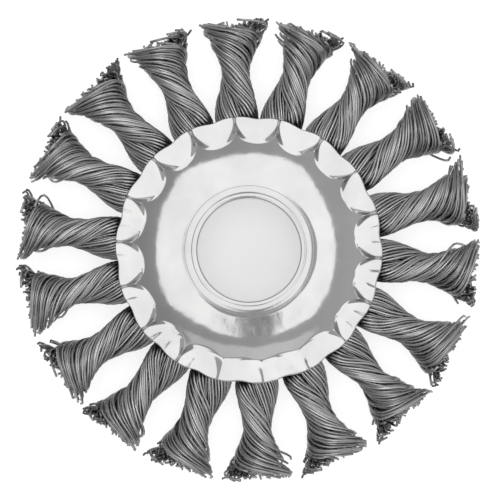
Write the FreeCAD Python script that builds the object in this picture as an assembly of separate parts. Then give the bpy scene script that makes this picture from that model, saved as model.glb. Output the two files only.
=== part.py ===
import FreeCAD, Part

import math
import os

from FreeCAD import Vector

# Twist-knot wire wheel for an angle grinder, 100 mm nominal, lying flat with its axis on +Z.
# The origin is the middle of the arbor hole. Lengths are in millimetres, angles in degrees.
# A station is a distance from the wheel's axis, measured outwards along a knot.

# Driving dimensions of the arbor bush
bore_d = 22.23
bush_wall = 1.1
bush_flange_w = 1.5
bush_flange_t = 0.7
bush_mouth_bevel = 0.7
hub_w = 13.8
fit_gap = 0.05

# Driving dimensions of the stamped cover plates
cover_d = 57.0
sheet_t = 1.0
seat_margin = 0.6
crown_d = 40.4
crown_fall = 0.55
crown_facets = 3
skirt_slope = 18.0

# Driving dimensions of the crimps that are pressed into the rim over the legs of the knots
crimp_start_w = 2.7
crimp_inset = 1.4
crimp_gap = 0.6
crimp_draft = 0.45
crimp_wall_share = 0.65
crimp_turn = 1.3
valley_depth = 0.5
crease_depth = 0.25
crease_l = 2.3
pleat_reach = 3.2
pleat_half_w = 1.9
pleat_fall = 0.35
pleat_pull = 0.7

# Driving dimensions of the disc that carries the wire tufts
disc_d = 44.8
disc_t = 1.2
window_land_w = 2.0
window_web_w = 2.15
window_l = 3.6

# Driving dimensions of the twisted wire knots
knot_count = 18
brush_d = 97.6
knot_root_gap = 0.6
knot_tip_gap = 0.6
knot_face_w = 12.2
waist_w = 6.6
waist_station = 38.5
flare_power = 1.25
leg_gap = 0.25
leg_t = 6.0
leg_cleft = 0.5
flute_depth = 0.3
flute_count = 5
sweep = 1.05
sweep_station = 46.0
trim_step = 0.6

# Driving values of the twist, whose lay is the length of one full turn. It tightens from the
# rim of the covers to the waist, and again at the tip. Inside the covers it brings the two
# legs from side by side to front and back.
rim_turn = -20.0
hub_lay = 36.0
rim_lay = 68.0
waist_lay = 20.0
tip_station = 43.0
tip_turn = 58.0

# How finely the knots are faceted
hub_rings = 2
free_rings = 10
bend_rings = 4
hairpin_sides = 4
halvings = 12

# Sizes worked out from the driving dimensions
bore_r = bore_d / 2
bush_r = bore_r + bush_wall
bush_flange_r = bush_r + bush_flange_w
hole_r = bush_r + fit_gap
cover_r = cover_d / 2
crown_r = crown_d / 2
seat_r = bush_flange_r + seat_margin
seat_z = hub_w / 2 - bush_flange_t
crown_z = seat_z - crown_fall
skirt_fall = math.tan(math.radians(skirt_slope))
pitch = 360 / knot_count
half_pitch = math.radians(pitch / 2)
crimp_start_r = crown_r + crimp_start_w
crimp_z = crown_z - crimp_start_w * skirt_fall
crimp_r = cover_r - crimp_inset
crimp_foot_r = crimp_r * math.sin(half_pitch) - crimp_gap / 2
valley_r = crimp_start_r + valley_depth / skirt_fall
crease_r = cover_r - crease_l
pleat_r = cover_r - pleat_reach
disc_r = disc_d / 2
window_r = disc_r - window_land_w - window_l / 2
window_w = 2 * window_r * math.tan(half_pitch) - window_web_w
brush_r = brush_d / 2
root_half_w = cover_r * half_pitch - knot_root_gap / 2
tip_half_w = brush_r * half_pitch - knot_tip_gap / 2
waist_half_w = waist_w / 2
face_half_w = knot_face_w / 2


def turned(points):
    """A solid of revolution about Z, from its half section as (radius, height) pairs."""
    corners = [Vector(radius, 0, height) for radius, height in points]
    section = Part.Face(Part.makePolygon(corners + corners[:1]))
    return section.revolve(Vector(0, 0, 0), Vector(0, 0, 1), 360)


def around(shape):
    """One copy of the shape for each knot, turned clockwise about Z from the first."""
    copies = []
    for index in range(knot_count):
        copy = shape.copy()
        copy.rotate(Vector(0, 0, 0), Vector(0, 0, 1), -index * pitch)
        copies.append(copy)
    return copies


def polar(radius, angle, height):
    """A point from its radius, its angle in radians clockwise from +Y, and its height."""
    return Vector(radius * math.sin(angle), radius * math.cos(angle), height)


def blend(start, end, share):
    """The value at that share of the way from start to end."""
    return start + (end - start) * share


def soft_share(start, end, place):
    """How far a place lies from start to end, from 0 to 1, easing in and out."""
    share = max(0.0, min(1.0, (place - start) / (end - start)))
    return share * share * (3 - 2 * share)


def strip(lower, upper):
    """Flat triangles between two closed rings of points, of which one may have twice as many."""
    steps = max(len(lower), len(upper))
    faces = []
    for step in range(steps):
        low_here = lower[step * len(lower) // steps]
        low_next = lower[(step + 1) * len(lower) // steps % len(lower)]
        up_here = upper[step * len(upper) // steps]
        up_next = upper[(step + 1) * len(upper) // steps % len(upper)]
        for corners in ((low_here, low_next, up_here), (low_next, up_next, up_here)):
            sides = zip(corners, corners[1:] + corners[:1])
            if all(start.distanceToPoint(end) > 1e-6 for start, end in sides):
                faces.append(Part.Face(Part.makePolygon(corners + corners[:1])))
    return faces


def skin(rings):
    """Flat triangles over the whole way from the first ring of points to the last."""
    faces = []
    for lower, upper in zip(rings, rings[1:]):
        faces += strip(lower, upper)
    return faces


def cap(ring):
    """The flat face inside a ring of points."""
    return Part.Face(Part.makePolygon(ring + ring[:1]))


def solid_of(faces):
    """The solid that a closed set of faces bounds, with its flat neighbours joined."""
    solid = Part.Solid(Part.Shell(faces))
    if solid.Volume < 0:
        solid.reverse()
    return solid.removeSplitter()


def arbor_bush():
    """The tube that takes the spindle, with its ends rolled out over both cover plates."""
    face_z = hub_w / 2
    upper = [
        (bore_r, face_z - bush_mouth_bevel),
        (bore_r + bush_mouth_bevel, face_z),
        (bush_flange_r, face_z),
        (bush_flange_r, seat_z),
        (bush_r, seat_z),
    ]
    lower = [(radius, -height) for radius, height in reversed(upper)]
    return turned(upper + lower)


def tuft_disc():
    """The flat ring on the bush that has one punched window for each hairpin of wire."""
    ring = turned([
        (hole_r, -disc_t / 2),
        (disc_r, -disc_t / 2),
        (disc_r, disc_t / 2),
        (hole_r, disc_t / 2),
    ])
    corner = Vector(-window_w / 2, window_r - window_l / 2, -disc_t)
    window = Part.makeBox(window_w, window_l, 2 * disc_t, corner)
    return ring.cut(around(window))


def groove_z(radius):
    """Height of the cover between the crimps: a cone that ends in the floor of the valleys."""
    cone = crown_z - (radius - crown_r) * skirt_fall
    return max(cone, crimp_z - valley_depth)


def outline_r(angle, size):
    """Where a crimp's round outline of that size crosses a ray, at an angle from its middle."""
    reach = size ** 2 - (crimp_r * math.sin(angle)) ** 2
    crossing = crimp_r * math.cos(angle) - math.sqrt(max(0.0, reach))
    return max(crimp_start_r, crossing)


def crimp_sections(depth):
    """Sections through half a crimp at one depth in the sheet, from its middle to the valley.

    Each section is an angle and its (radius, height) points: at the foot of the crimp, at its
    top, where the pleat starts, and on the rim.
    """
    foot_size = crimp_foot_r - crimp_wall_share * depth
    top_size = foot_size - crimp_draft
    pleat_angle = pleat_half_w / cover_r
    shoulder = math.asin(top_size / crimp_r)
    sections = []
    for angle in (0.0, pleat_angle, (pleat_angle + shoulder) / 2, shoulder):
        foot = outline_r(angle, foot_size)
        top = outline_r(angle, top_size)
        rim = (cover_r, crimp_z)
        sections.append((angle, [(foot, groove_z(foot)), (top, crimp_z), rim, rim]))
    sections[0][1][2:] = [(pleat_r, crimp_z), (cover_r - pleat_pull, crimp_z - pleat_fall)]
    crease_z = crimp_z - crease_depth
    rim = (cover_r, crease_z)
    sections.append((half_pitch, [(valley_r, groove_z(valley_r)), (crease_r, crease_z), rim, rim]))
    return sections


def cover_rings(depth):
    """Closed rings of points over one side of the cover, from its hole to its rim."""
    inner_rings = []
    for radius, height in ((hole_r, seat_z), (seat_r, seat_z), (crown_r, crown_z)):
        count = crown_facets * knot_count
        angles = [(index / crown_facets + 0.5) * 2 * half_pitch for index in range(count)]
        inner_rings.append([polar(radius, angle, height - depth) for angle in angles])
    half = crimp_sections(depth)
    other_half = [(2 * half_pitch - angle, points) for angle, points in reversed(half[1:-1])]
    outer_rings = []
    for level in range(len(half[0][1])):
        ring = []
        for index in range(knot_count):
            middle = (2 * index + 1) * half_pitch
            for angle, points in half + other_half:
                radius, height = points[level]
                ring.append(polar(radius, middle + angle, height - depth))
        outer_rings.append(ring)
    return inner_rings + outer_rings


def cover_plate():
    """The stamped cover plate of the front face, of one sheet thickness throughout."""
    outside = cover_rings(0.0)
    inside = cover_rings(sheet_t)[::-1]
    plate = solid_of(skin(outside + inside + outside[:1]))
    plate.rotate(Vector(0, 0, 0), Vector(0, 0, 1), crimp_turn)
    return plate


def twist_at(station):
    """How far the two legs have turned round each other at that station, in degrees."""
    hub = min(0.0, station - cover_r) * 360 / hub_lay
    run = waist_station - cover_r
    legs = max(0.0, min(run, station - cover_r))
    rim_rate, waist_rate = 360 / rim_lay, 360 / waist_lay
    legs *= blend(rim_rate, waist_rate, legs / (2 * run))
    bundle = max(0.0, station - waist_station) * waist_rate
    tip = max(0.0, station - tip_station) / (brush_r - tip_station)
    return rim_turn + hub + legs + bundle + tip_turn * tip ** 3


def station_at(turn):
    """The station outside the covers where the legs have turned that far, found by halving."""
    low, high = cover_r, brush_r
    for _ in range(halvings):
        middle = (low + high) / 2
        if twist_at(middle) < turn:
            low = middle
        else:
            high = middle
    return high


def half_width(station):
    """Half the width of the knot across its legs."""
    closing = soft_share(cover_r, waist_station, station)
    free = max(0.0, station - waist_station) / (brush_r - waist_station)
    return blend(root_half_w, blend(waist_half_w, tip_half_w, free ** flare_power), closing)


def half_depth(station):
    """Half the thickness of the knot: that of one leg at the hub, then as much as its width."""
    return blend(leg_t / 2, half_width(station), soft_share(cover_r, waist_station, station))


def height_limit(station):
    """How far from the middle plane the wires reach: in the hub the covers press them flat."""
    if station <= cover_r:
        return groove_z(station) - sheet_t - leg_gap
    return face_half_w


def section_point(index, station):
    """A point of the knot's section before its twist: two legs that close to a fluted bundle."""
    angle = math.pi * index / flute_count
    across, up = math.cos(angle), math.sin(angle)
    leg_height = max(abs(math.sin(2 * angle)), leg_cleft * abs(up))
    reach = 1.0 - flute_depth / half_width(station) * (index % 2)
    closed = soft_share(cover_r, waist_station, station)
    u = blend(across * abs(across), reach * across, closed)
    v = blend(math.copysign(leg_height, up), reach * up, closed)
    return u * half_width(station), v * half_depth(station)


def knot_ring(station, trim=0.0):
    """The outline of the twisted knot at one station, as points on a cylinder round the axis."""
    twist = math.radians(twist_at(station))
    side_limit = station * math.tan(half_pitch) - knot_root_gap / 2
    height = height_limit(station)
    flatter = min(1.0, face_half_w / half_width(station))
    points = []
    for index in range(2 * flute_count):
        u, v = section_point(index, station)
        x = u * math.cos(twist) - v * math.sin(twist)
        z = (u * math.sin(twist) + v * math.cos(twist)) * flatter
        x = max(-side_limit, min(side_limit, x)) + sweep * soft_share(cover_r, sweep_station, station)
        y = math.sqrt(station ** 2 - x ** 2) - trim * (index % 2)
        points.append(Vector(x, y, max(-height, min(height, z))))
    return points


def twisted_legs():
    """The two legs of the knot, twisted together outside the hub and trimmed at the tip."""
    root = disc_r + leg_gap
    first, last = twist_at(cover_r), twist_at(brush_r)
    rings = [knot_ring(blend(root, cover_r, step / hub_rings)) for step in range(hub_rings + 1)]
    for step in range(1, free_rings):
        rings.append(knot_ring(station_at(blend(first, last, step / free_rings))))
    rings.append(knot_ring(brush_r, trim_step))
    inner_end = Vector(0, root, 0)
    outer_end = Vector(sweep, brush_r - trim_step, 0)
    return solid_of(skin([[inner_end]] + rings + [[outer_end]]))


def hairpin():
    """The bend of the tuft, from its front leg through the window to its back leg."""
    root = disc_r + leg_gap
    low = disc_t / 2 + leg_gap
    high = groove_z(root) - sheet_t - leg_gap
    bend_r, thick = (high + low) / 2, (high - low) / 2
    bend_y = window_r + window_l / 2 + leg_gap
    wide = window_w / 2 - leg_gap
    path = [(root + leg_gap, bend_r, 0.0)]
    for step in range(bend_rings + 1):
        turn = math.pi * step / bend_rings
        path.append((bend_y - bend_r * math.sin(turn), bend_r * math.cos(turn), turn))
    path.append((root + leg_gap, -bend_r, math.pi))
    rings = []
    for y, z, turn in path:
        ring = []
        for corner in range(hairpin_sides):
            angle = 2 * math.pi * (corner + 0.5) / hairpin_sides
            out = thick * math.cos(angle)
            ring.append(Vector(wide * math.sin(angle), y - out * math.sin(turn), z + out * math.cos(turn)))
        rings.append(ring)
    return solid_of(skin(rings) + [cap(rings[0]), cap(rings[-1])])


def wire_knot():
    """One knot on +Y: a tuft of wires folded through the disc, with its two legs twisted."""
    return twisted_legs().fuse(hairpin())


def main():
    """Builds every piece and writes one STEP file for each."""
    front = cover_plate()
    back = front.copy()
    back.rotate(Vector(0, 0, 0), Vector(0, 1, 0), 180)
    pieces = {
        "arbor_bush": arbor_bush(),
        "tuft_disc": tuft_disc(),
        "front_cover": front,
        "back_cover": back,
    }
    for number, knot in enumerate(around(wire_knot()), start=1):
        pieces[f"wire_knot_{number:02d}"] = knot
    os.makedirs("parts", exist_ok=True)
    for name, shape in pieces.items():
        shape.exportStep(f"parts/{name}.step")


main()
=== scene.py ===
import math
import random

import bpy
import numpy as np
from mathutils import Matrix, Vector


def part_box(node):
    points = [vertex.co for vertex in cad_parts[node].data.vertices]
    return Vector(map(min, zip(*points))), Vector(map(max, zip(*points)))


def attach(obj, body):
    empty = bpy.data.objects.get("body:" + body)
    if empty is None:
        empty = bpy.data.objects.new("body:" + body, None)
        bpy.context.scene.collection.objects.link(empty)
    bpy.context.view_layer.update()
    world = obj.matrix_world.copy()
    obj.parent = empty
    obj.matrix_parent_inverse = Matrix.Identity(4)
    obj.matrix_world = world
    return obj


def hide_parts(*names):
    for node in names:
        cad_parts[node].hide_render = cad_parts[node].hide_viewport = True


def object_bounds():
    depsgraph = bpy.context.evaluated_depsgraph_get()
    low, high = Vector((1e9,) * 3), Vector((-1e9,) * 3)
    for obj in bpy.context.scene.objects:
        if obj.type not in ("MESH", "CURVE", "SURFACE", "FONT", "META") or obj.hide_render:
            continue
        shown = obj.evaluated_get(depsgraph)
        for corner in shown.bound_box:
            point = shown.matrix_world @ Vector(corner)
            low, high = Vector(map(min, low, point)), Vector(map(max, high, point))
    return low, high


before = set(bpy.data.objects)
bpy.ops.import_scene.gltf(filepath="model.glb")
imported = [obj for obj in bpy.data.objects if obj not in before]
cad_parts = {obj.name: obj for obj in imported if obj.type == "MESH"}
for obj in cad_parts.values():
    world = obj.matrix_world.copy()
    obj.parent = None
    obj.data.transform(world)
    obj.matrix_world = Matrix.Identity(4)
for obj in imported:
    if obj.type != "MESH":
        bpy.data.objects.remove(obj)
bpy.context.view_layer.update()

# A twist-knot wire wheel lying flat, seen along its axis. Sizes are in millimetres and are
# scaled to the frame's metres when a mesh is made. Angles are in degrees where a comment says
# so and otherwise in radians, clockwise from +Y seen from above. A station is a distance from
# the wheel's middle, measured outwards along a knot.
MM = 0.001
KNOTS = 18
PITCH = 2 * math.pi / KNOTS
HALF_PITCH = PITCH / 2
FRONT_SEED, BACK_SEED, KNOT_SEED = 7, 8, 100


def node_size(node, axis):
    """How far a CAD node reaches from the wheel's middle along an axis, in millimetres."""
    low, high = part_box(node)
    return max(abs(low[axis]), abs(high[axis])) / MM


HUB_FACE_Z = node_size("arbor_bush", 2)
COVER_R = node_size("front_cover", 1)
COVER_SEAT_Z = node_size("front_cover", 2)
BUSH_FLANGE_R = node_size("arbor_bush", 0)
BRUSH_R = node_size("wire_knot_01", 1)
KNOT_FACE_Z = node_size("wire_knot_01", 2)
FLOOR_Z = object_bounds()[0][2] / MM

# The bush: its tube, its rounded mouth and the fine joint line round the mouth
BORE_R = 11.115
BUSH_R = BORE_R + 1.1
MOUTH_DEPTH, MOUTH_FALL, LIP_R = 2.5, 0.055, 0.13
JOINT_R, JOINT_W, JOINT_DEPTH = BORE_R + 0.9, 0.15, 0.09
COLLAR_EDGE_W, COLLAR_EDGE_FALL = 0.09, 0.005
BUSH_COLUMNS = 192

# The covers before they are crimped: seat, bend, crown and skirt
SHEET_T = 1.0
FIT_GAP = 0.05
CROWN_R = 20.2
CROWN_Z = COVER_SEAT_Z - 0.55
BEND_END_R = BUSH_FLANGE_R + 0.75
BEND_FALL = math.tan(math.radians(10.4))
SKIRT_FALL = math.tan(math.radians(18.0))
BEND_ROUND, CROWN_ROUND = 0.03, 0.7

# The crimps: a round-ended pad over each pair of neighbouring legs, with its walls and its foot
CRIMP_TURN = -1.3
CRIMP_SPAN = 1.3 * HALF_PITCH
PAD_INNER_R, PAD_WIDE_R, PAD_HALF_W = 22.9, 28.0, 4.85
PAD_POWER, PAD_BACK_RUN = 1.75, 0.35
PAD_WALL_W, PAD_FOOT_W, PAD_FOOT_R = 0.6, 1.9, 27.0
PAD_Z = CROWN_Z - (PAD_INNER_R - CROWN_R) * SKIRT_FALL
FOOT_ROUND, CREASE_ROUND = 0.25, 0.012

# The valley and the rim crease between two pads
VALLEY_R, VALLEY_DEPTH, CREASE_DEPTH = 25.0, 0.75, 0.3
VALLEY_ROUND = 0.12

# The fold in the middle of each pad, which pulls the rim in, and the marks along its two edges
PLEAT_R = COVER_R - 3.2
PLEAT_PULL, PLEAT_SPREAD = 0.7, 0.42 * HALF_PITCH
PULL_LEAST, PULL_BY_FOLD = 0.7, 0.4
FOLD_HALF_IN, FOLD_HALF_OUT, FOLD_SIDE = 1.3, 1.9, 1.6
FOLD_MARK_W, FOLD_MARK_RISE = 0.24, 3.0
FOLD_MARKS = ((1, 1.0), (-1, 0.6))

# The bottom of the photograph, where the valleys, the walls and the marks are nearly flat
FLAT_FROM, FLAT_OVER = 0.72, 0.2
FLAT_VALLEY, FLAT_WALL, FLAT_MARK = 0.72, 1.2, 0.7

# How finely a cover is made. Its columns gather at the creases and its rows at the bend.
COVER_COLUMNS, COLUMN_GATHER = 44 * KNOTS, 0.6
UNDER_COLLAR_R = 13.2
CROWN_ROWS = (15.1, 16.0, 17.0, 18.0)
SKIRT_START_R, SKIRT_ROWS = 18.5, 50
BEND_ROWS, BEND_BEFORE, BEND_AFTER = 10, 0.1, 0.25
INNER_FACE_STEP = 4
RIM_CLEAR = 0.02
RIM_ROUND = 0.12
RIM_BEVEL = ((0.03, 0.05), (0.0, 0.14))

# The wire, and how many wires lie round a knot's middle at each share of its radius. They are
# numbered through the right leg and then the left one, from the outermost ring inwards.
WIRE_R = 0.25
RINGS = ((30, 0.98), (28, 0.82), (22, 0.65), (14, 0.47), (8, 0.30))
LEG_WIRES = sum(count // 2 for count, reach in RINGS)
OUTER_WIRES = [leg * LEG_WIRES + wire for leg in (0, 1) for wire in range(RINGS[0][0] // 2)]

# How the wires stray from even seats: alone, in bunches round the knot, each given by its
# size, its number of waves and its share of the ring's phase, and by sinking inwards
SEAT_STRAY = 0.2
BUNCHES = ((0.075, 7, 1), (0.04, 11, 2))
SINK, SINK_MOST = 0.055, 0.15

# How finely the wires are made: those far enough out to be seen are rounder than the rest
ROUND_REACH, ROUND_SIDES, INNER_SIDES = 0.7, 6, 4
WIRE_STEPS, BEND_STEPS, FINE_STEPS = 30, 6, 400
STEP_TURN, STEP_RUN = 13.0, 2.5

# A knot's outline: two legs side by side at the rim, one bundle from the waist on, and a flare
WAIST_R, WAIST_HALF = 38.5, 3.3
TIP_HALF, FLARE_POWER = 8.3, 1.3
LEG_MIDDLE, LEG_HALF_W, LEG_HALF_T = 2.1, 2.4, 3.15
LEG_WIRE_PITCH = 0.78
PACKING_ROUNDS, PACKING_PUSH = 30, 0.35
RIM_FILL, RIM_FILL_RUN, RIM_FILL_AREA = 0.7, 5.0, 4.0
SWEEP, SWEEP_END_R = 1.05, 46.0
SWAY_RUN, PHASE_RUN = 20.0, 6.0

# The twist, in degrees and degrees a millimetre, tightens from the rim to the waist and again
# at the tip, and inside the covers it brings the legs from side by side to front and back
RIM_TURN = -20.0
HUB_TWIST, RIM_TWIST, WAIST_TWIST = 10.0, 5.3, 18.0
TIP_R, TIP_TURN = 43.0, 58.0

# The trimmed tip: how far each wire ends past or short of the brush's edge, and how much
# shorter those are cut that lie on the side which the tips sweep away from
END_PAST, TRIM, TRIM_OUTSIDE = 0.3, 1.0, 0.7
LEE_TRIM, LEE_INNER, LEE_OUTSIDE = 3.0, 0.15, 0.85
TRIM_R = 47.2
OUTSIDE_FROM, OUTSIDE_OVER = 0.4, 0.5

# How single wires stray from the bundle: small bends, ends that lag and kick out, and three
# bows a knot, each by its share of the wire's place across the bundle and its length
STRAY, BEND, BEND_WAVE, BEND_PHASE = 0.5, 0.07, 0.5, 6.3
LOOSE_FROM, LOOSE_OVER = 1.0, 4.0
KICK, KICK_RUN = 0.2, 2.0
LAG = math.radians(13.0)
BOWS, BOW_MOST = ((0.15, 1.5), (0.2, 1.5), (0.33, 2.4)), 1.1
BOW_FROM_R, BOW_TO_R = 42.0, 46.0

# Where the wires pass through the disc: they bend round the land outside its windows
LAND_R = 20.95
DISC_HALF_T = 0.6
HUB_LEG_HALF_T, HUB_LEG_HALF_W = 1.6, 1.9

# How the wires are held down by the covers: probed at these steps outwards and round
COVER_GAP = 0.03
RIM_RELIEF, RIM_RELIEF_SLOPE = 0.2, 2.0
COVER_PROBES = ((-0.3, -0.012), (-0.3, 0.012), (0.3, -0.012), (0.3, 0.012), (0.0, 0.0))

# Where the photograph shows each knot, as a turn in degrees from its even place
KNOT_TURNS = (
    -0.2, -0.7, -0.3, -0.7, 0.1, -0.4, 0.8, 0.6, 1.2,
    1.8, 1.8, 1.4, 0.7, 1.2, 0.1, 0.6, 0.3, 0.2,
)

# The camera: how far it is rolled, how wide a field it sees and how far off its middle is
PHOTO_ROLL = math.radians(5.1)
PHOTO_W, PHOTO_SHIFT = 106.85 * MM, 0.21 * MM
CAMERA_HEIGHT, SENSOR_W = 1.0, 36.0

# The wires' finish: the strand coordinate that marks the faces of cut ends, and how far the tips
# darken, a painted shade for the shadowed gaps between the spreading wires
CUT_END = -5.0
TIP_PAINTED_SHADE = 0.35

# The paper: its glow far out, its lower glow under the hub, a painted shade, how much more it glows
# at the bore's edge, a painted light against the bore wall's shadow, the share of its glow that
# metal mirrors, and half its width
FLOOR_GLOW, HUB_SHADE_GLOW, BORE_EDGE_LIGHT = 0.72, 0.415, 0.045
MIRRORED_GLOW = 0.3
PAPER_HALF = 700.0

# The surroundings: their level, how far it changes to each side, and its share at the horizon
WORLD_LEVEL, WORLD_SIDE, WORLD_HORIZON = 0.52, 0.18, 0.75

# The lamps: heights in metres, radiances, and edges in degrees off the zenith as left, right,
# low and high in the photograph. The grey card fills the gap between the two lower soft boxes.
BOX_HEIGHT, FILL_HEIGHT = 0.6, 0.5
SOFT_BOX, FILL_BOX, SKIRT_FILL = 1.02, 1.0, 0.36
CARD_GLOW = 0.27
CARD_EDGES = (-2.2, 4.4, -16.0, -5.5)
CARD_LEFT, CARD_RIGHT, CARD_LOW, CARD_HIGH = CARD_EDGES
LAMPS = (
    ("soft_box", (-23, 16, CARD_HIGH, 26), BOX_HEIGHT, SOFT_BOX),
    ("soft_box_lower_left", (-23, CARD_LEFT, CARD_LOW, CARD_HIGH), BOX_HEIGHT, SOFT_BOX),
    ("soft_box_lower_right", (CARD_RIGHT, 16, CARD_LOW, CARD_HIGH), BOX_HEIGHT, SOFT_BOX),
    ("low_fill", (-14, 14, -52, -43), FILL_HEIGHT, FILL_BOX),
    ("skirt_fill", (-24, 24, -42, -27), FILL_HEIGHT, SKIRT_FILL),
)


def link_object(name, data):
    """A new object in the scene that shows a mesh, a lamp or a camera."""
    made = bpy.data.objects.new(name, data)
    bpy.context.scene.collection.objects.link(made)
    return made


def new_mesh_object(name, points, faces, smooth=True):
    """A mesh object from points in millimetres and a list or array of faces."""
    mesh = bpy.data.meshes.new(name)
    points = [tuple(point) for point in np.asarray(points) * MM]
    mesh.from_pydata(points, [], [tuple(face) for face in faces])
    mesh.validate()
    mesh.polygons.foreach_set("use_smooth", [smooth] * len(mesh.polygons))
    mesh.update()
    return link_object(name, mesh)


def smooth_step(share):
    """A soft ramp from 0 to 1."""
    share = np.clip(share, 0.0, 1.0)
    return share * share * (3 - 2 * share)


def soft_max(first, second, width):
    """The larger of two heights, with the edge between them rounded over a width."""
    blend = np.clip(0.5 + (first - second) / (2 * width), 0.0, 1.0)
    return second + (first - second) * blend + width * blend * (1 - blend)


def soft_min(first, second, width):
    """The smaller of two heights, with the edge between them rounded over a width."""
    return -soft_max(-first, -second, width)


def grid_faces(rows, columns):
    """Quads between the rows of a grid of points whose columns close on themselves."""
    row, column = np.meshgrid(np.arange(rows - 1), np.arange(columns), indexing="ij")
    following = (column + 1) % columns
    corners = (row * columns + column, row * columns + following,
               (row + 1) * columns + following, (row + 1) * columns + column)
    return np.stack([corner.ravel() for corner in corners], axis=1)


def ring_faces(rows, columns):
    """Quads over a grid whose rows close on themselves too, as round a turned section."""
    return grid_faces(rows + 1, columns) % (rows * columns)


def as_photographed(x, y):
    """Turns a place in the photograph's level frame into the wheel's own frame."""
    cosine, sine = math.cos(PHOTO_ROLL), math.sin(PHOTO_ROLL)
    return x * cosine + y * sine, -x * sine + y * cosine


def grey(level, blue=0.0):
    """A grey of a given level, with a touch more or less blue."""
    return (level, level, level + blue, 1.0)


WHITE = grey(1.0)


class Shader:
    """Short calls for the nodes of a material, a node group or the world."""

    def __init__(self, tree):
        self.tree = tree

    def node(self, kind, **settings):
        made = self.tree.nodes.new(kind)
        for name, value in settings.items():
            setattr(made, name, value)
        return made

    def feed(self, target, value):
        if isinstance(value, bpy.types.NodeSocket):
            self.tree.links.new(value, target)
        else:
            target.default_value = value

    def math(self, operation, first, second=0.0):
        made = self.node("ShaderNodeMath", operation=operation)
        self.feed(made.inputs[0], first)
        self.feed(made.inputs[1], second)
        return made.outputs[0]

    def parts(self, vector):
        made = self.node("ShaderNodeSeparateXYZ")
        self.feed(made.inputs[0], vector)
        return made.outputs

    def length(self, vector):
        made = self.node("ShaderNodeVectorMath", operation="LENGTH")
        self.feed(made.inputs[0], vector)
        return made.outputs["Value"]

    def noise(self, vector, scale, detail=2.0, roughness=0.5):
        made = self.node("ShaderNodeTexNoise")
        self.feed(made.inputs["Vector"], vector)
        self.feed(made.inputs["Scale"], scale)
        self.feed(made.inputs["Detail"], detail)
        self.feed(made.inputs["Roughness"], roughness)
        return made.outputs["Fac"]

    def ramp(self, value, low, high, to_low, to_high):
        made = self.node("ShaderNodeMapRange", clamp=True)
        for socket, number in zip(made.inputs[:5], (value, low, high, to_low, to_high)):
            self.feed(socket, number)
        return made.outputs[0]

    def mix(self, share, first, second):
        made = self.node("ShaderNodeMix", data_type="RGBA")
        self.feed(made.inputs["Factor"], share)
        self.feed(made.inputs["A"], first)
        self.feed(made.inputs["B"], second)
        return made.outputs["Result"]

    def bump(self, height, strength, distance, below=None):
        made = self.node("ShaderNodeBump")
        self.feed(made.inputs["Height"], height)
        self.feed(made.inputs["Strength"], strength)
        self.feed(made.inputs["Distance"], distance)
        if below:
            self.feed(made.inputs["Normal"], below)
        return made.outputs["Normal"]

    def group(self, tree, **inputs):
        made = self.node("ShaderNodeGroup", node_tree=tree)
        for name, value in inputs.items():
            self.feed(made.inputs[name.replace("_", " ")], value)
        return made.outputs


def new_group(name, inputs, outputs):
    """An empty shader node group with named number or vector sockets."""
    tree = bpy.data.node_groups.new(name, "ShaderNodeTree")
    for socket, kind in inputs.items():
        tree.interface.new_socket(socket, in_out="INPUT", socket_type=kind)
    for socket, kind in outputs.items():
        tree.interface.new_socket(socket, in_out="OUTPUT", socket_type=kind)
    shader = Shader(tree)
    return shader, shader.node("NodeGroupInput").outputs, shader.node("NodeGroupOutput").inputs


def make_mottle():
    """Soft cloudy change over a surface: large patches with fine grain on top."""
    vector, number = "NodeSocketVector", "NodeSocketFloat"
    shader, given, out = new_group(
        "mottle",
        {"Position": vector, "Patch Scale": number, "Grain Scale": number},
        {"Patches": number, "Grain": number},
    )
    patches = shader.noise(given["Position"], given["Patch Scale"], 2.0, 0.5)
    grain = shader.noise(given["Position"], given["Grain Scale"], 4.0, 0.6)
    shader.feed(out["Patches"], patches)
    shader.feed(out["Grain"], grain)
    return shader.tree


def new_material(name):
    """A material with its Principled shader joined up, its position and its node calls."""
    material = bpy.data.materials.new(name)
    material.use_nodes = True
    tree = material.node_tree
    tree.nodes.clear()
    shader = Shader(tree)
    surface = shader.node("ShaderNodeBsdfPrincipled")
    output = shader.node("ShaderNodeOutputMaterial")
    shader.feed(output.inputs["Surface"], surface.outputs[0])
    position = shader.node("ShaderNodeTexCoord").outputs["Object"]
    return material, shader, surface, position


def zinc_material(name, mottle, light, dark, rough_low, rough_high, dent_depth):
    """Bright zinc plating on pressed steel: pale, soft in its gloss, faintly clouded."""
    material, shader, surface, position = new_material(name)
    looks = shader.group(mottle, Position=position, Patch_Scale=140.0, Grain_Scale=2600.0)
    clouds = shader.ramp(looks["Patches"], 0.35, 0.65, 0.0, 1.0)
    roughness = shader.ramp(looks["Grain"], 0.3, 0.7, rough_low, rough_high)
    dents = shader.bump(looks["Patches"], 1.0, dent_depth)
    surface.inputs["Metallic"].default_value = 1.0
    shader.feed(surface.inputs["Base Color"], shader.mix(clouds, dark, light))
    shader.feed(surface.inputs["Roughness"], roughness)
    shader.feed(surface.inputs["Normal"], shader.bump(looks["Grain"], 0.12, 0.00004, dents))
    return material


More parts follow.
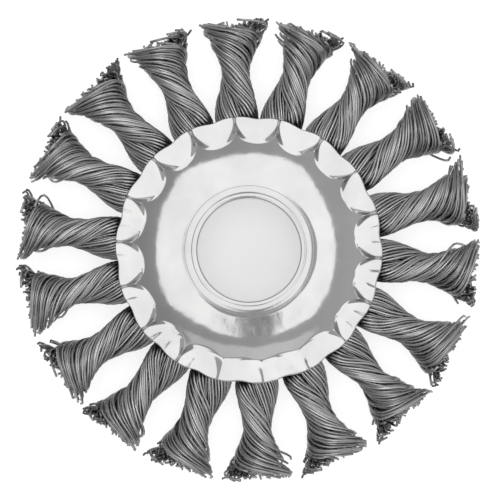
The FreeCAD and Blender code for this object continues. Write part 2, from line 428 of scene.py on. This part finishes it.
def wire_material(mottle):
    """Bare drawn steel wire: grey, with fine draw lines, its own tone, and tips darkened as painted
    shade.
    """
    material, shader, surface, position = new_material("drawn_steel_wire")
    tip_shade_and_cut_end = grey(0.2)
    strand = shader.node("ShaderNodeUVMap", uv_map="strand").outputs["UV"]
    place = shader.parts(strand)
    own = shader.node("ShaderNodeTexWhiteNoise", noise_dimensions="1D")
    shader.feed(own.inputs["W"], shader.math("FLOOR", place["Y"]))
    lines = shader.node("ShaderNodeMapping", vector_type="POINT")
    shader.feed(lines.inputs["Vector"], strand)
    lines.inputs["Scale"].default_value = (0.6, 9.0, 1.0)
    drawn = shader.noise(lines.outputs[0], 3.0, 3.0, 0.6)
    looks = shader.group(mottle, Position=position, Patch_Scale=260.0, Grain_Scale=1500.0)
    half_own = shader.math("MULTIPLY", own.outputs["Value"], 0.5)
    half_drawn = shader.math("MULTIPLY", drawn, 0.5)
    tone = shader.ramp(shader.math("ADD", half_own, half_drawn), 0.2, 0.8, 0.0, 1.0)
    steel = shader.mix(tone, grey(0.36, 0.005), grey(0.82, 0.005))
    # Painted shade: the tips darken towards their ends, standing in for the shadow in the gaps
    # between spreading wires
    painted_tip_shade = shader.ramp(shader.length(position), TIP_R * MM, TRIM_R * MM, 0.0, TIP_PAINTED_SHADE)
    steel = shader.mix(painted_tip_shade, steel, tip_shade_and_cut_end)
    cut = shader.math("LESS_THAN", place["X"], CUT_END / 2)
    roughness = shader.ramp(looks["Patches"], 0.3, 0.7, 0.24, 0.34)
    roughness = shader.math("ADD", roughness, shader.math("MULTIPLY", cut, 0.4))
    surface.inputs["Metallic"].default_value = 1.0
    shader.feed(surface.inputs["Base Color"], shader.mix(cut, steel, tip_shade_and_cut_end))
    shader.feed(surface.inputs["Roughness"], roughness)
    shader.feed(surface.inputs["Normal"], shader.bump(drawn, 0.25, 0.00002))
    return material


def paper_glow(shader, position, rays):
    """How the paper glows: white far out, painted shade under the hub, painted light at the bore's
    edge.
    """
    mirrored = shader.math("MULTIPLY", rays["Is Glossy Ray"], MIRRORED_GLOW)
    seen = shader.math("MAXIMUM", rays["Is Camera Ray"], mirrored)
    seen = shader.math("MAXIMUM", seen, rays["Is Transmission Ray"])
    radius = shader.length(position)
    # Painted shade: the paper glows less under the hub and in the bore, and painted light raises it
    # a little towards the bore's edge
    bore_painted_glow = shader.ramp(radius, 0.0, BORE_R * MM, HUB_SHADE_GLOW, HUB_SHADE_GLOW + BORE_EDGE_LIGHT)
    outwards = shader.ramp(radius, BORE_R * MM, COVER_R * MM, HUB_SHADE_GLOW, FLOOR_GLOW)
    return shader.math("MULTIPLY", seen, shader.math("MAXIMUM", bore_painted_glow, outwards))


def paper_material():
    """White paper under the wheel, white in the background, which keeps the wheel's shadow.

    It glows less under the hub, a painted shade that keeps the paper seen through the bore grey, and
    its back is clear, so that the wheel can be seen from below.
    """
    material, shader, surface, position = new_material("white_paper")
    paper = shader.mix(shader.noise(position, 30.0), grey(0.80), grey(0.83))
    shader.feed(surface.inputs["Base Color"], paper)
    surface.inputs["Roughness"].default_value = 0.9
    surface.inputs["Specular IOR Level"].default_value = 0.0
    rays = shader.node("ShaderNodeLightPath").outputs
    surface.inputs["Emission Color"].default_value = WHITE
    shader.feed(surface.inputs["Emission Strength"], paper_glow(shader, position, rays))
    clear = shader.node("ShaderNodeBsdfTransparent")
    either = shader.node("ShaderNodeMixShader")
    from_below = shader.node("ShaderNodeNewGeometry").outputs["Backfacing"]
    shader.feed(either.inputs[0], shader.math("MULTIPLY", from_below, rays["Is Camera Ray"]))
    shader.feed(either.inputs[1], surface.outputs[0])
    shader.feed(either.inputs[2], clear.outputs[0])
    shader.feed(material.node_tree.nodes["Material Output"].inputs["Surface"], either.outputs[0])
    return material


def card_material():
    """Dark card that glows dimly in its middle and brightens to both sides, where the lamps are."""
    material, shader, surface, position = new_material("card_paint")
    grain = shader.noise(position, 300.0)
    shader.feed(surface.inputs["Base Color"], shader.mix(grain, grey(0.02), grey(0.04)))
    surface.inputs["Roughness"].default_value = 0.9
    place = shader.parts(shader.node("ShaderNodeTexCoord").outputs["Generated"])
    off_middle = shader.math("ABSOLUTE", shader.math("SUBTRACT", place["X"], 0.5))
    glow = shader.ramp(off_middle, 0.2, 0.5, CARD_GLOW, SOFT_BOX)
    surface.inputs["Emission Color"].default_value = WHITE
    shader.feed(surface.inputs["Emission Strength"], glow)
    return material


def finish_piece(piece, material, slot, *nodes):
    """Gives a piece its material and its place in the frame, and hides the CAD nodes it stands for.
    """
    piece.data.materials.append(material)
    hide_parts(*nodes)
    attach(piece, "root")


def lathe(name, profile, columns):
    """A turned piece from its closed half section, a list of (radius, height) points."""
    profile = np.array(profile)
    angles = np.arange(columns) * 2 * math.pi / columns
    points = np.stack([
        np.outer(profile[:, 0], np.sin(angles)),
        np.outer(profile[:, 0], np.cos(angles)),
        np.outer(profile[:, 1], np.ones(columns)),
    ], axis=2)
    return new_mesh_object(name, points.reshape(-1, 3), ring_faces(len(profile), columns))


def arc_points(middle, radius, start_deg, end_deg, steps):
    """Points of a round corner in a section."""
    angles = np.radians(np.linspace(start_deg, end_deg, steps))
    x, z = middle
    return [(x + radius * math.cos(angle), z + radius * math.sin(angle)) for angle in angles]


def bush_section():
    """Half the bush's section: a rounded mouth, a fine joint line and a flat rolled collar."""
    face = HUB_FACE_Z
    upper = [(BORE_R, face - MOUTH_DEPTH)]
    upper += arc_points((BORE_R + LIP_R, face - MOUTH_FALL - LIP_R), LIP_R, 180, 96, 9)
    upper += [
        (JOINT_R - 2 * JOINT_W, face - 0.03),
        (JOINT_R - JOINT_W, face - 0.03),
        (JOINT_R, face - JOINT_DEPTH),
        (JOINT_R + JOINT_W, face - 0.01),
        (JOINT_R + 3 * JOINT_W, face),
        (BUSH_FLANGE_R - COLLAR_EDGE_W, face - COLLAR_EDGE_FALL),
        (BUSH_FLANGE_R - 0.02, face - 0.03),
        (BUSH_FLANGE_R, face - COLLAR_EDGE_W),
        (BUSH_FLANGE_R, COVER_SEAT_Z),
        (BUSH_R, COVER_SEAT_Z),
        (BUSH_R, COVER_SEAT_Z - SHEET_T),
    ]
    lower = [(radius, -height) for radius, height in reversed(upper)]
    return upper + lower


def crimp_tweaks(seed):
    """Small differences from one crimp to the next, as the press leaves them."""
    draw = random.Random(seed)
    return [{
        "turn": math.radians(CRIMP_TURN + draw.uniform(-0.45, 0.45)),
        "width": draw.uniform(0.97, 1.01),
        "reach": draw.uniform(-0.25, 0.25),
        "tilt": draw.uniform(-0.045, -0.01),
        "lean": draw.uniform(-0.025, 0.025),
        "fold": draw.uniform(0.0, 0.07),
        "short": draw.uniform(-0.2, 0.5),
        "crease": draw.uniform(0.035, 0.08),
    } for _ in range(KNOTS)]


def off_crimp(angle, index, tweak):
    """How far an angle lies from the middle of a crimp, the short way round."""
    middle = (index + 0.5) * PITCH + tweak["turn"]
    return (angle - middle + math.pi) % (2 * math.pi) - math.pi


def cone_height(radius):
    """The cover's height before it is crimped: its seat, its crown and its skirt."""
    bend_z = COVER_SEAT_Z - BEND_FALL * (BEND_END_R - BUSH_FLANGE_R)
    bend = COVER_SEAT_Z - BEND_FALL * (radius - BUSH_FLANGE_R).clip(0.0)
    crown = bend_z - (bend_z - CROWN_Z) * (radius - BEND_END_R) / (CROWN_R - BEND_END_R)
    skirt = CROWN_Z - (radius - CROWN_R) * SKIRT_FALL
    return soft_min(soft_max(bend, crown, BEND_ROUND), skirt, CROWN_ROUND)


def valley_height(radius, flat):
    """The cover's height where no pad is: the cone, with a valley that rises to the rim."""
    rise = VALLEY_DEPTH - CREASE_DEPTH
    rise = rise * smooth_step((radius - VALLEY_R) / (COVER_R - VALLEY_R))
    valley = PAD_Z - (VALLEY_DEPTH - rise) * (1.0 - FLAT_VALLEY * flat)
    return soft_max(cone_height(radius), valley, VALLEY_ROUND)


def pad_top(along, across, flat, tweak):
    """The height of a pad's top: level but for its tilt, its lean and the fold at the rim."""
    inner_r = PAD_INNER_R + tweak["reach"]
    top = PAD_Z + (PAD_INNER_R - inner_r) * SKIRT_FALL
    top = top - tweak["tilt"] * (along - inner_r) + tweak["lean"] * across
    reach = (along - PLEAT_R - tweak["short"]) / (COVER_R - PLEAT_R)
    half_w = FOLD_HALF_IN + (FOLD_HALF_OUT - FOLD_HALF_IN) * np.clip(reach, 0.0, 1.0)
    top -= tweak["fold"] * smooth_step(reach) * smooth_step(FOLD_SIDE - np.abs(across) / half_w)
    for way, share in FOLD_MARKS:
        mark = np.exp(-((across - way * half_w) / FOLD_MARK_W) ** 2)
        mark = share * tweak["crease"] * mark * smooth_step(FOLD_MARK_RISE * reach)
        top -= mark * (1.0 - FLAT_MARK * flat)
    return top


def pad_wall(along, across, flat, tweak):
    """What share of a pad's height is left: all of it on top and none past its walls."""
    inner_r = PAD_INNER_R + tweak["reach"]
    back = np.clip((PAD_WIDE_R - along) / (PAD_WIDE_R + PAD_BACK_RUN - inner_r), 0.0, 1.0)
    half_w = PAD_HALF_W * tweak["width"] * (1.0 - back ** PAD_POWER) ** (1 / PAD_POWER)
    foot = np.clip((PAD_FOOT_R - along) / (PAD_FOOT_R - PAD_INNER_R), 0.0, 1.0)
    wall_w = (PAD_WALL_W + (PAD_FOOT_W - PAD_WALL_W) * foot) * (1.0 + FLAT_WALL * flat)
    return smooth_step(0.5 - (np.abs(across) - half_w) / wall_w)


def crimp_heights(radius, angle, tweaks):
    """Height of the cover's outer face at points given by radius and angle, as numpy arrays.

    The crown falls a little and the skirt falls away from it as a cone. The press leaves a
    round-ended level pad over each pair of neighbouring legs. Between two pads lies a valley,
    which runs out to the rim as a crease.
    """
    flat = smooth_step((-np.cos(angle + PHOTO_ROLL) - FLAT_FROM) / FLAT_OVER)
    ground = valley_height(radius, flat)
    height = ground.copy()
    for index, tweak in enumerate(tweaks):
        offset = off_crimp(angle, index, tweak)
        near = np.abs(offset) < CRIMP_SPAN
        along = radius[near]
        across = along * np.sin(offset[near])
        top = pad_top(along, across, flat[near], tweak)
        lift = soft_max(top - ground[near], 0.0, FOOT_ROUND)
        lift *= pad_wall(along, across, flat[near], tweak)
        height[near] = soft_max(height[near], ground[near] + lift, CREASE_ROUND)
    return height


def cover_rim(angles, tweaks):
    """The cut rim's radius at each angle: pulled in at each fold and full between them."""
    pull = np.zeros(len(angles))
    for index, tweak in enumerate(tweaks):
        offset = off_crimp(angles, index, tweak)
        share = PULL_LEAST + PULL_BY_FOLD * tweak["fold"]
        pull += PLEAT_PULL * share * np.exp(-(offset / PLEAT_SPREAD) ** 2)
    return COVER_R - RIM_CLEAR - pull


def cover_rows(rim):
    """The radius of each row of a cover's outer face, from its hole to just short of its rim."""
    bend_rows = np.linspace(BUSH_FLANGE_R - BEND_BEFORE, BEND_END_R + BEND_AFTER, BEND_ROWS)
    hub_rows = [BUSH_R + FIT_GAP, UNDER_COLLAR_R, *bend_rows, *CROWN_ROWS]
    skirt_w = rim - RIM_ROUND - SKIRT_START_R
    skirt_rows = SKIRT_START_R + np.outer(np.linspace(0.0, 1.0, SKIRT_ROWS), skirt_w)
    return np.vstack([np.outer(hub_rows, np.ones(len(rim))), skirt_rows])


def cover_sheet(name, tweaks, back):
    """A cover plate as formed sheet: its outer face, its cut rim and its inner face."""
    turns = np.arange(COVER_COLUMNS) / COVER_COLUMNS * KNOTS
    turns = turns - COLUMN_GATHER * np.sin(2 * math.pi * turns) / (2 * math.pi)
    angles = turns * PITCH + math.radians(CRIMP_TURN)
    rim = cover_rim(angles, tweaks)
    outer_r = cover_rows(rim)
    outer_z = crimp_heights(outer_r, np.broadcast_to(angles, outer_r.shape), tweaks)
    edge_z = outer_z[-1]
    edge = [(rim - inset, edge_z - fall) for inset, fall in RIM_BEVEL]
    edge += [(rim - inset, edge_z - SHEET_T + fall) for inset, fall in reversed(RIM_BEVEL)]
    inner_rows = slice(None, None, -INNER_FACE_STEP)
    radii = np.vstack([outer_r] + [row[0] for row in edge] + [outer_r[inner_rows]])
    heights = np.vstack([outer_z] + [row[1] for row in edge] + [outer_z[inner_rows] - SHEET_T])
    side = -1.0 if back else 1.0
    points = [side * radii * np.sin(angles), radii * np.cos(angles), side * heights]
    points = np.stack(points, axis=2).reshape(-1, 3)
    return new_mesh_object(name, points, ring_faces(len(radii), COVER_COLUMNS))


def tip_twist(station):
    """The part of the turn that the flared tip adds, in radians."""
    return math.radians(TIP_TURN) * (np.maximum(station - TIP_R, 0.0) / (BRUSH_R - TIP_R)) ** 3


def twist_at(station):
    """How far the bundle has turned, in radians, at each station."""
    run = WAIST_R - COVER_R
    hub = HUB_TWIST * np.minimum(station - COVER_R, 0.0)
    legs = np.clip(station - COVER_R, 0.0, run)
    legs = legs * (RIM_TWIST + (WAIST_TWIST - RIM_TWIST) * legs / (2 * run))
    bundle = WAIST_TWIST * np.maximum(station - WAIST_R, 0.0)
    return np.radians(RIM_TURN + hub + legs + bundle) + tip_twist(station)


def station_steps(ends, steps):
    """Stations along each wire, from the disc to its end, closer together where it twists faster."""
    fine = np.linspace(0.0, 1.0, FINE_STEPS)
    grid = LAND_R + np.outer(ends - LAND_R, fine)
    effort = np.degrees(twist_at(grid)) / STEP_TURN + (grid - LAND_R) / STEP_RUN
    stations = np.empty((len(ends), steps))
    for row in range(len(ends)):
        marks = np.linspace(effort[row, 0], effort[row, -1], steps)
        stations[row] = np.interp(marks, effort[row], grid[row])
    return stations


def strand_seats(draw):
    """Where each wire sits in the closed bundle's unit section.

    The first row holds the wires of the right leg and the second those of the left one, in
    the same order, each as the angle round the bundle and the distance from its middle. The
    wires of a ring bunch together here and there, and some sink below the others.
    """
    seats = ([], [])
    for count, reach in RINGS:
        half = count // 2
        phase = draw.uniform(0, 2 * math.pi)
        for side in (0, 1):
            for step in range(half):
                stray = draw.uniform(-SEAT_STRAY, SEAT_STRAY)
                turn = math.pi * ((step + 0.5 + stray) / half - 0.5)
                turn += sum(size * math.sin(waves * turn + share * phase)
                            for size, waves, share in BUNCHES)
                sink = 1.0 - min(SINK_MOST, abs(draw.gauss(0.0, SINK)))
                seats[side].append((turn + math.pi * side, reach * sink))
    return np.array(seats)


def leg_places(x, y):
    """Where the wires of one leg lie in its unit section, evenly packed, from the bundle's half."""
    places = np.stack([2 * np.abs(x) - np.sqrt(1.0 - y ** 2), y], axis=1)
    size = np.array([LEG_HALF_W, LEG_HALF_T])
    for _ in range(PACKING_ROUNDS):
        apart = (places[:, None] - places[None]) * size
        distance = np.linalg.norm(apart, axis=2) + 1e-6
        push = np.clip(LEG_WIRE_PITCH - distance, 0.0, None) * PACKING_PUSH
        np.fill_diagonal(push, 0.0)
        places += (apart / distance[:, :, None] * push[:, :, None]).sum(axis=1) / size
        places /= np.maximum(1.0, np.linalg.norm(places, axis=1, keepdims=True))
    return places


def past_waist(station):
    """How far a station lies from the waist, at 0, to the tip, at 1."""
    return np.clip((station - WAIST_R) / (BRUSH_R - WAIST_R), 0.0, 1.0)


def leg_and_bundle(seats, station, shape):
    """Each wire's place across the knot, before it is twisted, as two arrays, and the half width."""
    x = seats[:, :, 1] * np.cos(seats[:, :, 0])
    y = seats[:, :, 1] * np.sin(seats[:, :, 0])
    places = np.concatenate([leg_places(x[side], y[side]) for side in (0, 1)])
    side = np.sign(x).reshape(-1, 1)
    x, y = x.reshape(-1, 1), y.reshape(-1, 1)
    in_hub = np.clip((COVER_R - station) / (COVER_R - LAND_R), 0.0, 1.0)
    half_w = LEG_HALF_W * (1 - in_hub) + HUB_LEG_HALF_T * in_hub
    half_t = LEG_HALF_T * (1 - in_hub) + HUB_LEG_HALF_W * in_hub
    middle = LEG_MIDDLE * (1 - in_hub) + (DISC_HALF_T + WIRE_R + HUB_LEG_HALF_T) * in_hub
    leg_u = side * (middle + half_w * places[:, :1])
    leg_v = half_t * places[:, 1:]
    closing = smooth_step((station - COVER_R) / (WAIST_R - COVER_R))
    flare = (shape["tip"] - shape["waist"]) * past_waist(station) ** FLARE_POWER
    half = shape["waist"] + flare - WIRE_R
    u = leg_u * (1 - closing) + x * half * closing
    v = leg_v * (1 - closing) + y * half * closing
    return u, v, half


def loosen(draw, u, v, station):
    """Small bends in single wires, more towards their ends, which kick out, and a few that bow."""
    count = len(u)

    def for_each_wire(law, *limits):
        return np.array([law(*limits) for _ in range(count)])[:, None]

    free = past_waist(station)
    out = smooth_step((station - COVER_R - LOOSE_FROM) / LOOSE_OVER)
    for part in (u, v):
        stray = for_each_wire(draw.gauss, 0.0, STRAY)
        bend = for_each_wire(draw.gauss, 0.0, BEND)
        phase = for_each_wire(draw.uniform, 0.0, BEND_PHASE)
        kick = for_each_wire(draw.gauss, 0.0, KICK)
        part += stray * free ** 2 + bend * np.sin(BEND_WAVE * station + phase) * out
        part += kick * np.maximum(station - station[:, -1:] + KICK_RUN, 0.0)
    for bow, width in BOWS:
        wire = draw.choice(OUTER_WIRES)
        share, middle = draw.uniform(0.0, BOW_MOST), draw.uniform(BOW_FROM_R, BOW_TO_R)
        bow *= share * np.exp(-((station[wire] - middle) / width) ** 2)
        u[wire] *= 1 + bow
        v[wire] *= 1 + bow


def strand_lines(draw, seats, shape):
    """The middle lines of a knot's wire legs, from the disc to their cut ends.

    The wires on the outside of the knot sweep round at the tip. Those that end on the side
    they sweep away from are cut shorter, and there the straighter wires behind them show.
    """
    angles, reaches = seats[:, :, 0].ravel(), seats[:, :, 1].ravel()
    count = len(angles)
    outside = smooth_step((reaches - OUTSIDE_FROM) / OUTSIDE_OVER)
    trims = np.array([draw.uniform(0.0, 1.0) for _ in range(count)])
    resting = angles + twist_at(TRIM_R) - tip_twist(TRIM_R) * (1.0 - outside) + shape["phase"]
    lee = np.sin(2 * resting).clip(0.0)
    short = LEE_TRIM * (LEE_INNER + LEE_OUTSIDE * outside) * lee
    ends = BRUSH_R + END_PAST - trims * (TRIM + TRIM_OUTSIDE * outside) - short
    station = station_steps(ends, WIRE_STEPS)
    u, v, half = leg_and_bundle(seats, station, shape)
    loosen(draw, u, v, station)
    lag = np.array([draw.gauss(0.0, LAG) for _ in range(count)])[:, None]
    past_rim = station - COVER_R
    past_tip = np.maximum(station - TIP_R, 0.0) / (BRUSH_R - TIP_R)
    twist = twist_at(station) - tip_twist(station) * (1.0 - outside[:, None])
    twist += shape["phase"] * smooth_step(past_rim / PHASE_RUN) + lag * past_tip ** 2
    across = u * np.cos(twist) - v * np.sin(twist)
    up = u * np.sin(twist) + v * np.cos(twist)
    rim_fill = 1.0 - smooth_step(past_rim / RIM_FILL_RUN)
    up *= 1.0 + RIM_FILL * rim_fill * smooth_step(across * up / RIM_FILL_AREA)
    up *= np.minimum(1.0, (KNOT_FACE_Z - WIRE_R) / (half + WIRE_R))
    lowest = HUB_FACE_Z - WIRE_R - FIT_GAP
    across += SWEEP * smooth_step(past_rim / (SWEEP_END_R - COVER_R))
    across += shape["sway"] * np.maximum(past_rim, 0.0) / SWAY_RUN
    return np.stack([across, station, up.clip(-lowest, lowest)], axis=2)


def hairpins(legs, bend_steps):
    """Joins the right and the left leg of each wire through the disc's window in a round bend."""
    half = len(legs) // 2
    right, left = legs[:half], legs[half:]
    share = np.linspace(0.0, 1.0, bend_steps + 2)[1:-1]
    bend_r = np.abs(right[:, :1, 2]) * (1 - share) + np.abs(left[:, :1, 2]) * share
    across = right[:, :1, 0] * (1 - share) + left[:, :1, 0] * share
    turn = math.pi * share
    over = np.sign(right[:, :1, 2])
    bend = [across, LAND_R - bend_r * np.sin(turn), over * bend_r * np.cos(turn)]
    return np.concatenate([right[:, ::-1], np.stack(bend, axis=2), left], axis=1)


def under_covers(lines):
    """Presses the wires down where they lie between the covers, and lets them rise past the rim."""
    radius = np.hypot(lines[:, :, 0], lines[:, :, 1])
    angle = np.arctan2(lines[:, :, 0], lines[:, :, 1])
    past = RIM_RELIEF_SLOPE * np.maximum(radius - COVER_R + RIM_RELIEF, 0.0)
    gap = SHEET_T + WIRE_R + COVER_GAP
    top = bottom = HUB_FACE_Z
    for step, turn in COVER_PROBES:
        inside = np.minimum(radius + step, COVER_R)
        top = np.minimum(top, crimp_heights(inside, angle + turn, FRONT_CRIMPS) - gap + past)
        bottom = np.minimum(bottom, crimp_heights(inside, turn - angle, BACK_CRIMPS) - gap + past)
    lines[:, :, 2] = np.clip(lines[:, :, 2], -bottom, top)


def carried_sides(along):
    """A direction square to each wire at each of its steps, carried along it without a twist."""
    sides = np.empty_like(along)
    side = np.cross(along[:, 0], np.array([0.0, 0.0, 1.0]))
    for step in range(along.shape[1]):
        side = side - along[:, step] * np.sum(side * along[:, step], axis=1, keepdims=True)
        side /= np.linalg.norm(side, axis=1, keepdims=True)
        sides[:, step] = side
    return sides


def strand_coordinates(count, steps, sides, first_wire):
    """A coordinate for each face corner of a set of wires.

    Its first number is the place along the wire and its second is the wire's number plus the
    place around it.
    """
    length = np.arange(steps) / 2.0
    row, column = np.meshgrid(np.arange(steps - 1), np.arange(sides), indexing="ij")
    row, column = row.ravel(), column.ravel()
    u = np.stack([length[row], length[row], length[row + 1], length[row + 1]], axis=1)
    v = np.stack([column, column + 1, column + 1, column], axis=1) / (sides + 1)
    u = np.broadcast_to(u, (count,) + u.shape)
    v = v[None] + first_wire + np.arange(count)[:, None, None]
    return np.stack([u, v], axis=3).reshape(-1, 2)


def tubes(lines, sides):
    """Round wires along many middle lines at once: their points, their faces and their cut ends."""
    count, steps, _ = lines.shape
    along = np.gradient(lines, axis=1)
    along /= np.linalg.norm(along, axis=2, keepdims=True)
    first = carried_sides(along)
    second = np.cross(first, along)
    turns = np.arange(sides) * 2 * math.pi / sides
    ring = (first[:, :, None, :] * np.cos(turns)[None, None, :, None]
            + second[:, :, None, :] * np.sin(turns)[None, None, :, None])
    points = lines[:, :, None, :] + WIRE_R * ring
    per_wire = steps * sides
    starts = np.arange(count) * per_wire
    faces = (starts[:, None, None] + grid_faces(steps, sides)[None]).reshape(-1, 4)
    cut_ends = []
    for start in starts.tolist():
        cut_ends.append([start + side for side in range(sides)][::-1])
        cut_ends.append([start + per_wire - sides + side for side in range(sides)])
    return points.reshape(-1, 3), faces, cut_ends


def wires_mesh(name, lines, seen):
    """The wires of a knot as one mesh, with the strand coordinates that their finish needs."""
    points, faces, coordinates, cut_ends = [], [], [], []
    wires = used = 0
    for chosen, sides in ((seen, ROUND_SIDES), (~seen, INNER_SIDES)):
        count = int(chosen.sum())
        part_points, part_faces, part_ends = tubes(lines[chosen], sides)
        points.append(part_points)
        faces += (part_faces + used).tolist()
        cut_ends += [[corner + used for corner in end] for end in part_ends]
        coordinates.append(strand_coordinates(count, lines.shape[1], sides, wires))
        used += len(part_points)
        wires += count
    mesh = bpy.data.meshes.new(name)
    mesh.from_pydata(np.concatenate(points) * MM, [], faces + cut_ends)
    end_corners = sum(len(end) for end in cut_ends)
    coordinates.append(np.full((end_corners, 2), CUT_END))
    mesh.uv_layers.new(name="strand").data.foreach_set("uv", np.concatenate(coordinates).ravel())
    smooth = np.ones(len(mesh.polygons), dtype=bool)
    smooth[len(faces):] = False
    mesh.polygons.foreach_set("use_smooth", smooth)
    mesh.update()
    return mesh


def wire_knot(index, material):
    """One knot as separate wires: hairpins through the disc, twisted, flared and trimmed."""
    draw = random.Random(KNOT_SEED + index)
    shape = {
        "waist": WAIST_HALF * draw.uniform(0.95, 1.05),
        "tip": TIP_HALF * draw.uniform(0.92, 1.06),
        "phase": math.radians(draw.uniform(-12, 12)),
        "sway": draw.uniform(-0.35, 0.35),
    }
    turn = index * PITCH + math.radians(KNOT_TURNS[index])
    cosine, sine = math.cos(turn), math.sin(turn)
    spin = np.array([[cosine, sine, 0], [-sine, cosine, 0], [0, 0, 1]])
    seats = strand_seats(draw)
    lines = hairpins(strand_lines(draw, seats, shape), BEND_STEPS) @ spin.T
    under_covers(lines)
    name = f"knot_{index + 1:02d}_wires"
    knot = link_object(name, wires_mesh(name, lines, seats[0, :, 1] > ROUND_REACH))
    finish_piece(knot, material, "knot_wire", f"wire_knot_{index + 1:02d}")


def place_camera():
    """A long lens straight above the wheel, rolled so that the knots lie as photographed."""
    data = bpy.data.cameras.new("camera")
    data.sensor_width = SENSOR_W
    data.lens = data.sensor_width / PHOTO_W * CAMERA_HEIGHT
    data.clip_start = 0.05
    data.clip_end = 20.0
    camera = link_object("camera", data)
    camera.location = (*as_photographed(PHOTO_SHIFT, 0.0), CAMERA_HEIGHT)
    camera.rotation_euler = (0.0, 0.0, -PHOTO_ROLL)
    bpy.context.scene.camera = camera


def edges_at(height, edges):
    """Turns edges in degrees off the zenith into distances at a height."""
    return [height * math.tan(math.radians(edge)) for edge in edges]


def area_lamp(name, edges, height, radiance):
    """A level soft box above the wheel."""
    left, right, low, high = edges_at(height, edges)
    width, depth = right - left, high - low
    data = bpy.data.lights.new(name, "AREA")
    data.shape = "RECTANGLE"
    data.size = width
    data.size_y = depth
    data.energy = radiance * math.pi * width * depth
    lamp = link_object(name, data)
    lamp.location = (*as_photographed((left + right) / 2, (low + high) / 2), height)
    lamp.rotation_euler = (0.0, 0.0, -PHOTO_ROLL)


def place_world():
    """Grey surroundings, darker low down and to one side, which the camera sees as white."""
    world = bpy.data.worlds.new("studio")
    bpy.context.scene.world = world
    world.use_nodes = True
    world.node_tree.nodes.clear()
    shader = Shader(world.node_tree)
    rays = shader.node("ShaderNodeLightPath").outputs
    background = shader.node("ShaderNodeBackground")
    output = shader.node("ShaderNodeOutputWorld")
    way = shader.parts(shader.node("ShaderNodeTexCoord").outputs["Generated"])
    height = shader.ramp(way["Z"], 0.0, 1.0, WORLD_HORIZON, 1.0)
    side = shader.ramp(way["X"], -1.0, 1.0, WORLD_LEVEL - WORLD_SIDE, WORLD_LEVEL + WORLD_SIDE)
    seen = shader.node("ShaderNodeMix", data_type="FLOAT")
    shader.feed(seen.inputs[0], rays["Is Camera Ray"])
    shader.feed(seen.inputs[2], shader.math("MULTIPLY", height, side))
    shader.feed(seen.inputs[3], 1.0)
    background.inputs["Color"].default_value = WHITE
    shader.feed(background.inputs["Strength"], seen.outputs[0])
    shader.feed(output.inputs["Surface"], background.outputs[0])


def flat_sheet(name, corners, material):
    """A flat sheet of the studio, from its four corners."""
    sheet = new_mesh_object(name, corners, [(0, 1, 2, 3)], smooth=False)
    sheet.data.materials.append(material)
    return sheet


def place_grey_card():
    """A grey card in the soft box's gap, which the sheet mirrors as a dark bite below the bore."""
    height = BOX_HEIGHT / MM
    left, right, low, high = edges_at(height, CARD_EDGES)
    corners = [(left, low), (left, high), (right, high), (right, low)]
    corners = [(*as_photographed(x, y), height) for x, y in corners]
    card = flat_sheet("grey_card", corners, card_material())
    card.visible_camera = card.visible_shadow = False


def place_floor():
    """The paper that the wheel lies on."""
    corners = [(-1, -1), (1, -1), (1, 1), (-1, 1)]
    corners = [(x * PAPER_HALF, y * PAPER_HALF, FLOOR_Z) for x, y in corners]
    floor = flat_sheet("paper_floor", corners, paper_material())


bpy.context.scene.view_settings.view_transform = "Standard"
place_camera()
for lamp_values in LAMPS:
    area_lamp(*lamp_values)
place_grey_card()
place_world()
place_floor()

FRONT_CRIMPS, BACK_CRIMPS = crimp_tweaks(FRONT_SEED), crimp_tweaks(BACK_SEED)
mottle = make_mottle()
cover_zinc = zinc_material(
    "plated_sheet", mottle, light=grey(0.56, -0.003), dark=grey(0.51),
    rough_low=0.08, rough_high=0.13, dent_depth=0.00011,
)
bush_zinc = zinc_material(
    "plated_tube", mottle, light=grey(0.53, -0.003), dark=grey(0.49),
    rough_low=0.10, rough_high=0.15, dent_depth=0.00004,
)
disc_steel = zinc_material(
    "bare_disc", mottle, light=grey(0.42), dark=grey(0.34),
    rough_low=0.35, rough_high=0.5, dent_depth=0.00004,
)
drawn_wire = wire_material(mottle)

bush = lathe("arbor_bush_turned", bush_section(), BUSH_COLUMNS)
finish_piece(bush, bush_zinc, "bush_steel", "arbor_bush")
front_cover = cover_sheet("front_cover_sheet", FRONT_CRIMPS, back=False)
finish_piece(front_cover, cover_zinc, "cover_zinc", "front_cover")
back_cover = cover_sheet("back_cover_sheet", BACK_CRIMPS, back=True)
finish_piece(back_cover, cover_zinc, "cover_zinc", "back_cover")
for material_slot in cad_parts["tuft_disc"].material_slots:
    material_slot.material = disc_steel
for number in range(KNOTS):
    wire_knot(number, drawn_wire)
